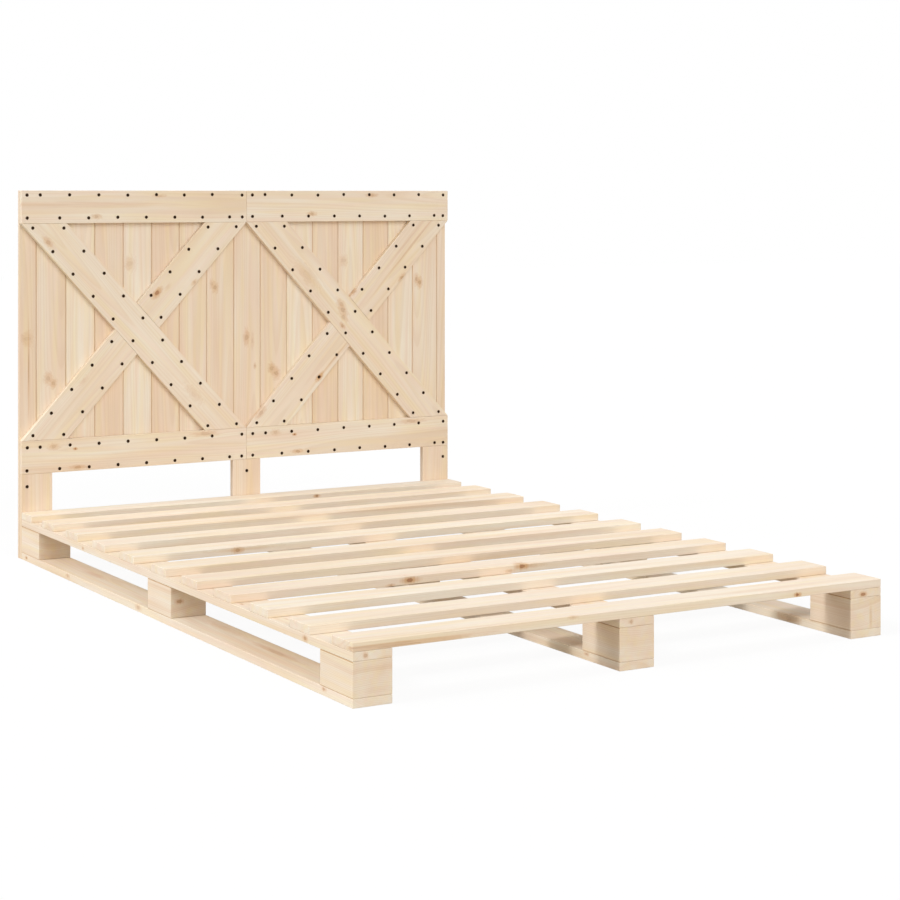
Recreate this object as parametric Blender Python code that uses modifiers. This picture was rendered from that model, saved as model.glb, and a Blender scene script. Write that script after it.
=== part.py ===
"""A pine bed frame for a 140 x 200 cm mattress.

The low base is built like a pallet: three runners on the floor, nine blocks, three stringers and
eleven slats. The headboard stands on the floor behind it: tongue-and-groove planks behind two
rails, a cross brace on each half, and three legs, screwed to the base's head blocks.
"""

import math

import bmesh
import bpy
from mathutils import Vector
from mathutils.geometry import intersect_line_line_2d

# All sizes are in metres. +X is to the right facing the headboard, +Y runs to the headboard, +Z up.
SEAM = 0.0003  # left between pieces that touch

# Base
BASE_WIDTH = 1.400
BASE_LENGTH = 2.000
ROW_WIDTH = 0.092  # of the runners, blocks and stringers
RUNNER_THICKNESS = 0.019
BLOCK_HEIGHT = 0.0745
BLOCK_LENGTH = 0.144
STRINGER_THICKNESS = 0.019
SLAT_THICKNESS = 0.019
SLAT_WIDTH = 0.092
HEAD_SLAT_WIDTH = 0.084  # the slat against the headboard is narrower
# Where each slat lies, from the foot end's edge to the head end's. They were set out by eye.
SLAT_PLACE_SHARES = (0, 0.101, 0.206, 0.306, 0.405, 0.502, 0.6095, 0.7115, 0.8145, 0.912, 1)

# Headboard
HEADBOARD_HEIGHT = 1.044
RAIL_WIDTH = 0.094
LOWER_RAIL_HEIGHT = 0.239  # of its lower edge over the floor
FRONT_THICKNESS = 0.018  # of the rails, braces and legs, which share one front face
BRACE_WIDTH = 0.100
LEG_WIDTH = 0.091
PLANK_THICKNESS = 0.0125
FULL_PLANKS = 15
LEFT_EDGE_PLANK_WIDTH = 0.050
RIGHT_EDGE_PLANK_WIDTH = 0.030

# Tongue-and-groove joint between the planks
V_CHAMFER = 0.0022
TONGUE_LENGTH = 0.0075
TONGUE_THICKNESS = 0.004
TONGUE_NOSE = 0.0008
GROOVE_SPARE = 0.001  # room before the tongue's tip

# Connector screws, from behind the headboard into the head blocks
SCREW_GRIP = 0.046  # length inside the block
SCREW_SHANK_RADIUS = 0.0032
SCREW_TIP_LENGTH = 0.006
SCREW_HEAD_RADIUS = 0.006
SCREW_HEAD_HEIGHT = 0.004
SCREW_SOCKET_RADIUS = 0.0025
SCREW_SOCKET_DEPTH = 0.0025
SCREW_SIDES = 20

ARRIS = 0.0012  # rounding of the boards' edges
ARRIS_SEGMENTS = 2
CUT_OVERRUN = 0.004
WELD_DISTANCE = 0.00005

# Worked out from the sizes above
BLOCK_BOTTOM = RUNNER_THICKNESS + SEAM
STRINGER_BOTTOM = BLOCK_BOTTOM + BLOCK_HEIGHT + SEAM
SLAT_BOTTOM = STRINGER_BOTTOM + STRINGER_THICKNESS + SEAM
HEADBOARD_THICKNESS = FRONT_THICKNESS + SEAM + PLANK_THICKNESS
WHOLE_LENGTH = BASE_LENGTH + SEAM + HEADBOARD_THICKNESS
HALF_WIDTH = BASE_WIDTH / 2
TOP_RAIL_BOTTOM = HEADBOARD_HEIGHT - RAIL_WIDTH
LOWER_RAIL_TOP = LOWER_RAIL_HEIGHT + RAIL_WIDTH
PLANK_COVER = (BASE_WIDTH - LEFT_EDGE_PLANK_WIDTH - RIGHT_EDGE_PLANK_WIDTH) / FULL_PLANKS
MIDDLE_PLANK = FULL_PLANKS // 2 + 1  # counted from the left, the edge plank being 0

PARTS = "pine_bed_frame"
CUTTERS = "cutters"


def clear_scene():
    for old in list(bpy.data.objects):
        bpy.data.objects.remove(old, do_unlink=True)


def new_collection(name):
    collection = bpy.data.collections.new(name)
    bpy.context.scene.collection.children.link(collection)
    return collection


def new_material(name, color, roughness, metallic=0.0):
    material = bpy.data.materials.new(name)
    material.use_nodes = True
    shader = material.node_tree.nodes["Principled BSDF"]
    shader.inputs["Base Color"].default_value = (*color, 1.0)
    shader.inputs["Roughness"].default_value = roughness
    shader.inputs["Metallic"].default_value = metallic
    material.diffuse_color = (*color, 1.0)
    return material


def place(obj, parent, location, material):
    """Puts a finished piece in the parts' collection, at a place measured from its parent."""
    bpy.data.collections[PARTS].objects.link(obj)
    obj.parent = parent
    obj.location = location
    obj.data.materials.clear()
    obj.data.materials.append(material)
    return obj


def as_cutter(obj, parent, location):
    bpy.data.collections[CUTTERS].objects.link(obj)
    obj.parent = parent
    obj.location = location
    obj.hide_render = True
    obj.display_type = "WIRE"
    return obj


def cut(obj, cutter):
    difference = obj.modifiers.new("Cut for " + cutter.name, "BOOLEAN")
    difference.operation = "DIFFERENCE"
    difference.solver = "EXACT"
    difference.object = cutter


def round_edges(obj):
    arris = obj.modifiers.new("Arris", "BEVEL")
    arris.width = ARRIS
    arris.segments = ARRIS_SEGMENTS
    arris.limit_method = "ANGLE"
    arris.harden_normals = False


def box_mesh(name, size):
    mesh = bpy.data.meshes.new(name)
    bm = bmesh.new()
    bmesh.ops.create_cube(bm, size=1)
    bmesh.ops.scale(bm, vec=size, verts=bm.verts)
    bm.to_mesh(mesh)
    bm.free()
    return mesh


def board(name, size, parent, corner, material):
    """A planed board with rounded edges. corner is its lowest corner."""
    obj = bpy.data.objects.new(name, box_mesh(name, size))
    place(obj, parent, Vector(corner) + Vector(size) / 2, material)
    round_edges(obj)
    return obj


def outline_mesh(name, outline, depth):
    """The mesh of a flat outline, given depth about its own plane, as a closed solid."""
    curve = bpy.data.curves.new(name, "CURVE")
    curve.dimensions = "2D"
    curve.fill_mode = "BOTH"
    curve.extrude = depth / 2
    spline = curve.splines.new("POLY")
    spline.points.add(len(outline) - 1)
    for point, (x, y) in zip(spline.points, outline):
        point.co = (x, y, 0, 1)
    spline.use_cyclic_u = True
    drawn = bpy.data.objects.new(name, curve)
    bpy.context.scene.collection.objects.link(drawn)
    graph = bpy.context.evaluated_depsgraph_get()
    mesh = bpy.data.meshes.new_from_object(drawn.evaluated_get(graph))
    bpy.data.objects.remove(drawn, do_unlink=True)
    bpy.data.curves.remove(curve)
    bm = bmesh.new()
    bm.from_mesh(mesh)
    bmesh.ops.remove_doubles(bm, verts=bm.verts, dist=WELD_DISTANCE)
    bmesh.ops.dissolve_limit(bm, angle_limit=math.radians(1), verts=bm.verts, edges=bm.edges)
    bmesh.ops.recalc_face_normals(bm, faces=bm.faces)
    bm.to_mesh(mesh)
    bm.free()
    mesh.name = name
    return mesh


def row_places():
    """The lower X of each of the three rows of runner, blocks and stringer."""
    return {
        "left": 0,
        "middle": HALF_WIDTH - ROW_WIDTH / 2,
        "right": BASE_WIDTH - ROW_WIDTH,
    }


def make_base(origin, pine):
    block_places = {
        "foot": 0,
        "middle": BASE_LENGTH / 2 - BLOCK_LENGTH / 2,
        "head": BASE_LENGTH - BLOCK_LENGTH,
    }
    block_size = (ROW_WIDTH, BLOCK_LENGTH, BLOCK_HEIGHT)
    head_blocks = {}
    for side, x in row_places().items():
        board(f"runner_{side}", (ROW_WIDTH, BASE_LENGTH, RUNNER_THICKNESS), origin, (x, 0, 0), pine)
        for end, y in block_places.items():
            block = board(f"block_{side}_{end}", block_size, origin, (x, y, BLOCK_BOTTOM), pine)
            if end == "head":
                head_blocks[side] = block
        stringer_size = (ROW_WIDTH, BASE_LENGTH, STRINGER_THICKNESS)
        board(f"stringer_{side}", stringer_size, origin, (x, 0, STRINGER_BOTTOM), pine)
    for number, share in enumerate(SLAT_PLACE_SHARES, start=1):
        width = HEAD_SLAT_WIDTH if number == len(SLAT_PLACE_SHARES) else SLAT_WIDTH
        place_y = share * (BASE_LENGTH - width)
        slat_size = (BASE_WIDTH, width, SLAT_THICKNESS)
        board(f"slat_{number:02d}", slat_size, origin, (0, place_y, SLAT_BOTTOM), pine)
    return head_blocks


def plank_outline(width, has_groove, has_tongue):
    """A plank's section, front face at y = 0: groove on the left, tongue on the right."""
    middle = PLANK_THICKNESS / 2
    tongue_low, tongue_high = middle - TONGUE_THICKNESS / 2, middle + TONGUE_THICKNESS / 2
    left_chamfer = V_CHAMFER if has_groove else 0
    right_chamfer = V_CHAMFER if has_tongue else 0
    outline = [(left_chamfer, 0), (width - right_chamfer, 0)]
    if has_tongue:
        tip = width + TONGUE_LENGTH
        outline += [
            (width, V_CHAMFER),
            (width, tongue_low),
            (tip - TONGUE_NOSE, tongue_low),
            (tip, tongue_low + TONGUE_NOSE),
            (tip, tongue_high - TONGUE_NOSE),
            (tip - TONGUE_NOSE, tongue_high),
            (width, tongue_high),
        ]
    outline += [(width, PLANK_THICKNESS), (0, PLANK_THICKNESS)]
    if has_groove:
        # The plank starts one seam past the joint, and the tongue ends that much deeper in.
        depth = TONGUE_LENGTH + GROOVE_SPARE
        outline += [
            (0, tongue_high + SEAM),
            (depth, tongue_high + SEAM),
            (depth, tongue_low - SEAM),
            (0, tongue_low - SEAM),
            (0, V_CHAMFER),
        ]
    return outline


def make_planks(headboard, pine):
    """Full planks between two edge planks. The ones behind the legs reach the floor."""
    widths = [LEFT_EDGE_PLANK_WIDTH] + [PLANK_COVER] * FULL_PLANKS + [RIGHT_EDGE_PLANK_WIDTH]
    last = len(widths) - 1
    behind_legs = {"left": 0, "middle": MIDDLE_PLANK, "right": last}
    planks = []
    x = 0
    for index, width in enumerate(widths):
        bottom = 0 if index in behind_legs.values() else LOWER_RAIL_HEIGHT
        length = HEADBOARD_HEIGHT - bottom
        has_tongue = index < last
        face_width = width - SEAM if has_tongue else width
        name = f"headboard_plank_{index + 1:02d}"
        outline = plank_outline(face_width, index > 0, has_tongue)
        plank = bpy.data.objects.new(name, outline_mesh(name, outline, length))
        place(plank, headboard, (x, FRONT_THICKNESS + SEAM, bottom + length / 2), pine)
        planks.append(plank)
        x += width
    trim_middle_plank(headboard, planks[MIDDLE_PLANK])
    return {side: planks[index] for side, index in behind_legs.items()}


def trim_middle_plank(headboard, plank):
    """Below the lower rail the middle plank is cut back to the right edge of the leg before it."""
    size = (PLANK_COVER, PLANK_THICKNESS + 2 * CUT_OVERRUN, LOWER_RAIL_HEIGHT + CUT_OVERRUN)
    corner = (HALF_WIDTH + LEG_WIDTH / 2, FRONT_THICKNESS + SEAM - CUT_OVERRUN, -CUT_OVERRUN)
    trim = bpy.data.objects.new("middle_plank_trim", box_mesh("middle_plank_trim", size))
    cut(plank, as_cutter(trim, headboard, Vector(corner) + Vector(size) / 2))


def make_rails(headboard, pine):
    """Each rail is two boards that butt at the middle."""
    length = HALF_WIDTH - SEAM / 2
    for rail, z in {"top": TOP_RAIL_BOTTOM, "lower": LOWER_RAIL_HEIGHT}.items():
        for side, x in {"left": 0, "right": BASE_WIDTH - length}.items():
            size = (length, FRONT_THICKNESS, RAIL_WIDTH)
            board(f"headboard_{rail}_rail_{side}", size, headboard, (x, 0, z), pine)


def brace_cut_length(width, height):
    """How long a brace's level end cut is, for a brace between the far corners of this panel."""
    square = height**2 - BRACE_WIDTH**2
    half = BRACE_WIDTH**2 * width
    whole = BRACE_WIDTH**2 * (height**2 + width**2)
    return (math.sqrt(half**2 + square * whole) - half) / square


def make_braces(headboard, pine):
    """On each half one brace runs through, and the other butts against it in two pieces."""
    width = HALF_WIDTH - SEAM / 2
    bottom, top = LOWER_RAIL_TOP + SEAM, TOP_RAIL_BOTTOM - SEAM
    height = top - bottom
    cut = brace_cut_length(width, height)
    run = width - cut
    seam_aside = SEAM * math.hypot(run, height) / height
    through = [(0, height), (run, 0), (width, 0), (cut, height)]
    # The cross brace's two long edges, and the lines that it stops at beside the through brace.
    rising_left = ((0, 0), (run, height))
    rising_right = ((cut, 0), (width, height))
    falling_left = ((-seam_aside, height), (run - seam_aside, 0))
    falling_right = ((cut + seam_aside, height), (width + seam_aside, 0))

    def meet(one, other):
        return tuple(intersect_line_line_2d(*one, *other))

    upper = [
        (run, height),
        meet(rising_left, falling_right),
        meet(rising_right, falling_right),
        (width, height),
    ]
    lower = [(0, 0), (cut, 0), meet(rising_right, falling_left), meet(rising_left, falling_left)]
    for side, x in {"left": 0, "right": BASE_WIDTH - width}.items():
        for part, outline in {"through": through, "upper": upper, "lower": lower}.items():
            name = f"headboard_brace_{side}_{part}"
            brace = bpy.data.objects.new(name, outline_mesh(name, outline, FRONT_THICKNESS))
            place(brace, headboard, (x, FRONT_THICKNESS / 2, bottom), pine)
            brace.rotation_euler.x = math.pi / 2
            round_edges(brace)


def make_legs(headboard, pine):
    places = {"left": 0, "middle": HALF_WIDTH - LEG_WIDTH / 2, "right": BASE_WIDTH - LEG_WIDTH}
    size = (LEG_WIDTH, FRONT_THICKNESS, LOWER_RAIL_HEIGHT - SEAM)
    return {
        side: board(f"headboard_leg_{side}", size, headboard, (x, 0, 0), pine)
        for side, x in places.items()
    }


def turned(name, profile, collection):
    """A profile of (radius, distance) turned about the Y axis, head end at zero, running to -Y."""
    mesh = bpy.data.meshes.new(name)
    bm = bmesh.new()
    points = [bm.verts.new((radius, y, 0)) for radius, y in profile]
    for one, other in zip(points, points[1:]):
        bm.edges.new((one, other))
    bm.to_mesh(mesh)
    bm.free()
    obj = bpy.data.objects.new(name, mesh)
    collection.objects.link(obj)
    screw = obj.modifiers.new("Turn", "SCREW")
    screw.axis = "Y"
    screw.steps = SCREW_SIDES
    screw.render_steps = SCREW_SIDES
    screw.use_merge_vertices = True
    screw.merge_threshold = WELD_DISTANCE
    graph = bpy.context.evaluated_depsgraph_get()
    solid = bpy.data.meshes.new_from_object(obj.evaluated_get(graph))
    bpy.data.objects.remove(obj, do_unlink=True)
    bpy.data.meshes.remove(mesh)
    bm = bmesh.new()
    bm.from_mesh(solid)
    bmesh.ops.remove_doubles(bm, verts=bm.verts, dist=WELD_DISTANCE)
    bmesh.ops.recalc_face_normals(bm, faces=bm.faces)
    bm.to_mesh(solid)
    bm.free()
    solid.name = name
    return bpy.data.objects.new(name, solid)


def make_screws(headboard, behind_legs, steel):
    """A countersunk connector screw through each plank and leg into a head block."""
    scene_root = bpy.context.scene.collection
    length = HEADBOARD_THICKNESS + SEAM + SCREW_GRIP
    neck = -SCREW_HEAD_HEIGHT
    profile = [
        (0, 0),
        (SCREW_HEAD_RADIUS, 0),
        (SCREW_SHANK_RADIUS, neck),
        (SCREW_SHANK_RADIUS, SCREW_TIP_LENGTH - length),
        (0, -length),
    ]
    room = [
        (0, CUT_OVERRUN),
        (SCREW_HEAD_RADIUS + SEAM, CUT_OVERRUN),
        (SCREW_HEAD_RADIUS + SEAM, 0),
        (SCREW_SHANK_RADIUS + SEAM, neck - SEAM),
        (SCREW_SHANK_RADIUS + SEAM, SCREW_TIP_LENGTH - length),
        (0, -length - SEAM),
    ]
    socket = [
        (0, CUT_OVERRUN),
        (SCREW_SOCKET_RADIUS, CUT_OVERRUN),
        (SCREW_SOCKET_RADIUS, -SCREW_SOCKET_DEPTH),
        (0, -SCREW_SOCKET_DEPTH),
    ]
    places = {
        "left": LEFT_EDGE_PLANK_WIDTH / 2,
        "middle": HALF_WIDTH,
        "right": BASE_WIDTH - RIGHT_EDGE_PLANK_WIDTH / 2,
    }
    height = BLOCK_BOTTOM + BLOCK_HEIGHT / 2
    for side, x in places.items():
        seat = (x, HEADBOARD_THICKNESS, height)
        screw = turned(f"headboard_screw_{side}", profile, scene_root)
        place(screw, headboard, seat, steel)
        screw.data.shade_smooth()
        screw.data.set_sharp_from_angle(angle=math.radians(30))
        socket_cutter = turned(f"socket_cutter_{side}", socket, scene_root)
        cut(screw, as_cutter(socket_cutter, headboard, seat))
        hole = as_cutter(turned(f"screw_hole_{side}", room, scene_root), headboard, seat)
        for wood in behind_legs[side]:
            cut(wood, hole)


def main():
    clear_scene()
    new_collection(PARTS)
    new_collection(CUTTERS).hide_render = True
    pale_pine = new_material("pale_pine", (0.93, 0.80, 0.62), 0.62)
    warm_pine = new_material("warm_pine", (0.80, 0.63, 0.43), 0.60)
    steel = new_material("black_oxide_steel", (0.03, 0.03, 0.03), 0.45, 0.9)
    base = bpy.data.objects.new("base_frame", None)
    headboard = bpy.data.objects.new("headboard_frame", None)
    for empty in (base, headboard):
        bpy.context.scene.collection.objects.link(empty)
    base.location = (-HALF_WIDTH, -WHOLE_LENGTH / 2, 0)
    headboard.location = (-HALF_WIDTH, BASE_LENGTH + SEAM - WHOLE_LENGTH / 2, 0)
    head_blocks = make_base(base, pale_pine)
    tall_planks = make_planks(headboard, warm_pine)
    make_rails(headboard, warm_pine)
    make_braces(headboard, warm_pine)
    legs = make_legs(headboard, warm_pine)
    screwed = {side: (tall_planks[side], legs[side], head_blocks[side]) for side in legs}
    make_screws(headboard, screwed, steel)


main()
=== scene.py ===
"""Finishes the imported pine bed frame: figured pine boards, countersunk screws, stage and camera."""

import math
import random
from collections import namedtuple
from functools import partial

import bmesh
import bpy
from mathutils import Matrix, Vector


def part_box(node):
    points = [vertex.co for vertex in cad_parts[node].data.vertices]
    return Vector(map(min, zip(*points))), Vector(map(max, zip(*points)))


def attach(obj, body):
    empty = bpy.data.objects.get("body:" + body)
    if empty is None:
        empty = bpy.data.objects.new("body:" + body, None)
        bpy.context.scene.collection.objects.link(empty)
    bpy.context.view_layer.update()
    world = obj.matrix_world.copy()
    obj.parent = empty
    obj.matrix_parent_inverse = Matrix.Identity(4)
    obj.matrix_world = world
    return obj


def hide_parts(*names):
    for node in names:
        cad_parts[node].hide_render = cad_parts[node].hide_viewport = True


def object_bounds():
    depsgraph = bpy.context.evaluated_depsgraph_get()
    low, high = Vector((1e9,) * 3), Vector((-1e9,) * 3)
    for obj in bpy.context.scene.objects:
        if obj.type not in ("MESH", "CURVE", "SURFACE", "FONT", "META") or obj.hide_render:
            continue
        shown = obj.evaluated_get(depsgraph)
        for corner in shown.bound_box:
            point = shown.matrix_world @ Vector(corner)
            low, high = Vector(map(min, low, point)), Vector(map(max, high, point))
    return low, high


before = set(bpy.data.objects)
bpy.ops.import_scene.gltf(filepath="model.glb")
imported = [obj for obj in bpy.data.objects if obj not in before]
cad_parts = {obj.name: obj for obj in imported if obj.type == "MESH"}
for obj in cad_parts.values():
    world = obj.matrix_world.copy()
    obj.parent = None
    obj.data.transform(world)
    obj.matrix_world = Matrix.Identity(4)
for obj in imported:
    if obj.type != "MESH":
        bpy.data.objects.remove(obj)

bl_info = {
    "name": "Pine bed frame",
    "version": (1, 0, 0),
    "blender": (4, 5, 0),
    "location": "3D View > Sidebar > Bed",
    "description": "Gives the pine bed frame its figured pine, its screws and a plain stage",
    "category": "Object",
}

MM = 0.001
TOUCH = 0.1 * MM  # vertices this near to a plane lie on it
CAD_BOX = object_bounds()
LEFT, FOOT, FLOOR = CAD_BOX[0]
ACROSS = Vector((1, 0, 0))
ALONG = Vector((0, 1, 0))
UP = Vector((0, 0, 1))
FRONT = Vector((0, -1, 0))

# Every board's grain is drawn from this seed and the board's own name.
GRAIN_SEED = 7


def linear(hex_colour):
    """An sRGB hex colour as linear RGB."""
    values = [int(hex_colour[i : i + 2], 16) / 255 for i in (1, 3, 5)]
    return tuple(v / 12.92 if v <= 0.04045 else ((v + 0.055) / 1.055) ** 2.4 for v in values)


def colour_property(name, description, hex_colour):
    return bpy.props.FloatVectorProperty(
        name=name,
        description=description,
        subtype="COLOR",
        size=3,
        min=0,
        max=1,
        default=linear(hex_colour),
    )


def length_property(name, description, metres):
    return bpy.props.FloatProperty(
        name=name, description=description, unit="LENGTH", min=0, default=metres, precision=4
    )


class BedWoodSettings(bpy.types.PropertyGroup):
    """Colours and grain sizes of the pine."""

    pale: colour_property("Pale", "Sapwood, most of each board", "#F4EBDB")
    peach: colour_property("Peach", "Warmer boards, and warmer stretches of a board", "#EBD4BD")
    tan: colour_property("Tan", "Soft darker streaks along the grain", "#DCBE98")
    honey: colour_property("Honey", "Yellower patches, where the wood holds resin", "#F4E1B0")
    rose: colour_property("Rose", "Pinkish patches", "#F3DAC8")
    latewood: colour_property("Latewood", "The dark side of each growth ring", "#CBA67A")
    knot: colour_property("Knot", "A sound knot's wood", "#955534")
    faint_knot: colour_property("Faint knot", "A knot that is barely cut", "#BC9363")
    knot_edge: colour_property("Knot edge", "The thin dark line round a knot", "#6B4123")
    halo: colour_property("Halo", "Resinous wood round a knot", "#D4A673")
    ring_width: length_property("Ring width", "Mean width of a growth ring", 0.0036)
    streak_width: length_property("Streak width", "Width of a streak, across the rings", 0.021)
    streak_length: length_property("Streak length", "How far a streak runs", 1.1)


class BedScrewSettings(bpy.types.PropertyGroup):
    """Sizes and places of the small screws on the headboard's face."""

    head: length_property("Head", "Diameter of a screw head", 0.0095)
    head_height: length_property("Head height", "Depth of the countersunk head", 0.0030)
    shank: length_property("Shank", "Diameter of the shank", 0.0040)
    screw_length: length_property("Length", "Length over all", 0.0140)
    sunk: length_property("Sunk", "How far a head lies below the wood", 0.0003)
    recess_span: length_property("Recess span", "Length of each slot of the cross", 0.0050)
    recess_width: length_property("Recess width", "Width of each slot of the cross", 0.0012)
    recess_depth: length_property("Recess depth", "Depth of the cross recess", 0.0017)
    rim: length_property("Rim", "Width of the crushed wood round a head", 0.0006)
    rail_pitch: length_property("Rail pitch", "Distance of the screws along a rail", 0.0888)
    row_gap: length_property("Row gap", "Distance between a rail's two rows", 0.0655)
    brace_pitch: length_property("Brace pitch", "Distance of the brace's screws, measured up", 0.066)
    brace_edge: length_property("Brace edge", "From a brace's edge to its screws, level", 0.020)
    brace_end: length_property("Brace end", "From a brace's end to its first screw", 0.0135)
    scatter: length_property("Scatter", "How far a screw misses its mark at most", 0.0010)
    steel: colour_property("Steel", "Black phosphated steel, a little brown", "#2B1906")


class BedStageSettings(bpy.types.PropertyGroup):
    """Camera, lamps and floor."""

    camera_place: bpy.props.FloatVectorProperty(
        name="Camera place",
        description="Where the camera stands",
        subtype="TRANSLATION",
        unit="LENGTH",
        default=(-2.6746, -4.7456, 1.0344),
    )
    camera_turn: bpy.props.FloatProperty(
        name="Camera turn",
        description="Turn of the level camera from facing the headboard, to the right",
        unit="ROTATION",
        default=math.radians(30.2455),
    )
    lens: bpy.props.FloatProperty(
        name="Lens", description="Focal length on a 36 mm sensor", unit="CAMERA", default=84
    )
    shift_x: bpy.props.FloatProperty(
        name="Shift X", description="The framing's shift to the side", default=0.0126
    )
    shift_y: bpy.props.FloatProperty(
        name="Shift Y", description="The framing's shift down, with upright verticals", default=-0.2846
    )
    sky: bpy.props.FloatProperty(
        name="Sky", description="Strength of the even light from all round", min=0, default=0.42
    )
    front_lamp: bpy.props.FloatProperty(
        name="Front lamp", description="Strength of the lamp in front", min=0, default=1.36
    )
    side_lamp: bpy.props.FloatProperty(
        name="Side lamp", description="Strength of the sharp lamp on the left", min=0, default=1.16
    )
    fill_lamp: bpy.props.FloatProperty(
        name="Fill lamp", description="Strength of the soft lamp on the left", min=0, default=0.85
    )
    back_lamp: bpy.props.FloatProperty(
        name="Back lamp", description="Strength of the low lamp behind the bed", min=0, default=0.20
    )
    warm: colour_property("Warm", "Colour of the lamp in front", "#FFFCF7")
    floor: colour_property("Floor", "Floor as it lights the bed", "#C4BBAE")
    floor_size: length_property("Floor size", "Edge of the square floor", 40)


MATH = "ShaderNodeMath"
VECTOR = "ShaderNodeVectorMath"
NOISE = "ShaderNodeTexNoise"
MIX = "ShaderNodeMix"
RANGE = "ShaderNodeMapRange"


def add(tree, kind, *values, named=None, **settings):
    """Adds a node with its settings and links.

    The values go to the sockets in use, in their order, and those in named by socket name. A node
    among the values is linked by its own first socket in use.
    """
    node = tree.nodes.new(kind)
    for name, value in settings.items():
        setattr(node, name, value)
    sockets = [socket for socket in node.inputs if socket.enabled]
    pairs = list(zip(sockets, values))
    pairs += [(node.inputs[name], value) for name, value in (named or {}).items()]
    for socket, value in pairs:
        if isinstance(value, bpy.types.Node):
            value = next(output for output in value.outputs if output.enabled)
        if isinstance(value, bpy.types.NodeSocket):
            tree.links.new(value, socket)
        else:
            socket.default_value = value
    return node


def new_group(name, kind, inputs, outputs):
    """A node group with named sockets. Returns the tree and its input node's sockets."""
    tree = bpy.data.node_groups.new(name, kind)
    for in_out, sockets in (("INPUT", inputs), ("OUTPUT", outputs)):
        for label, socket_type in sockets.items():
            tree.interface.new_socket(name=label, in_out=in_out, socket_type=socket_type)
    return tree, tree.nodes.new("NodeGroupInput").outputs


# Sizes of the pine's figure, in millimetres, the unit of the pattern's own space
WANDER_LENGTH, WANDER_WIDTH, WANDER = 650, 130, 16  # how the rings stray from straight
UNEVEN_WIDTH, UNEVEN = 16, 9  # how fast and slow years alternate
PATCH_LENGTH, PATCH_WIDTH = 420, 46  # warmer stretches
HUE_LENGTH, HUE_WIDTH = 240, 18  # yellower and pinker patches
FIBRE_LENGTH, FIBRE_WIDTH = 70, 1.6  # fibres, drawn coarser than they are so that they show

# Shares of the figure: where in a ring's width it darkens, and how far each layer shows
RISE_START, RISE_END, FALL_START = 0.25, 0.88, 0.90
PATCH_PULL, STREAK_PULL = 1.5, 1.3
HUE_SHARE, FIBRE_SHARE = 0.36, 0.08


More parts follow.
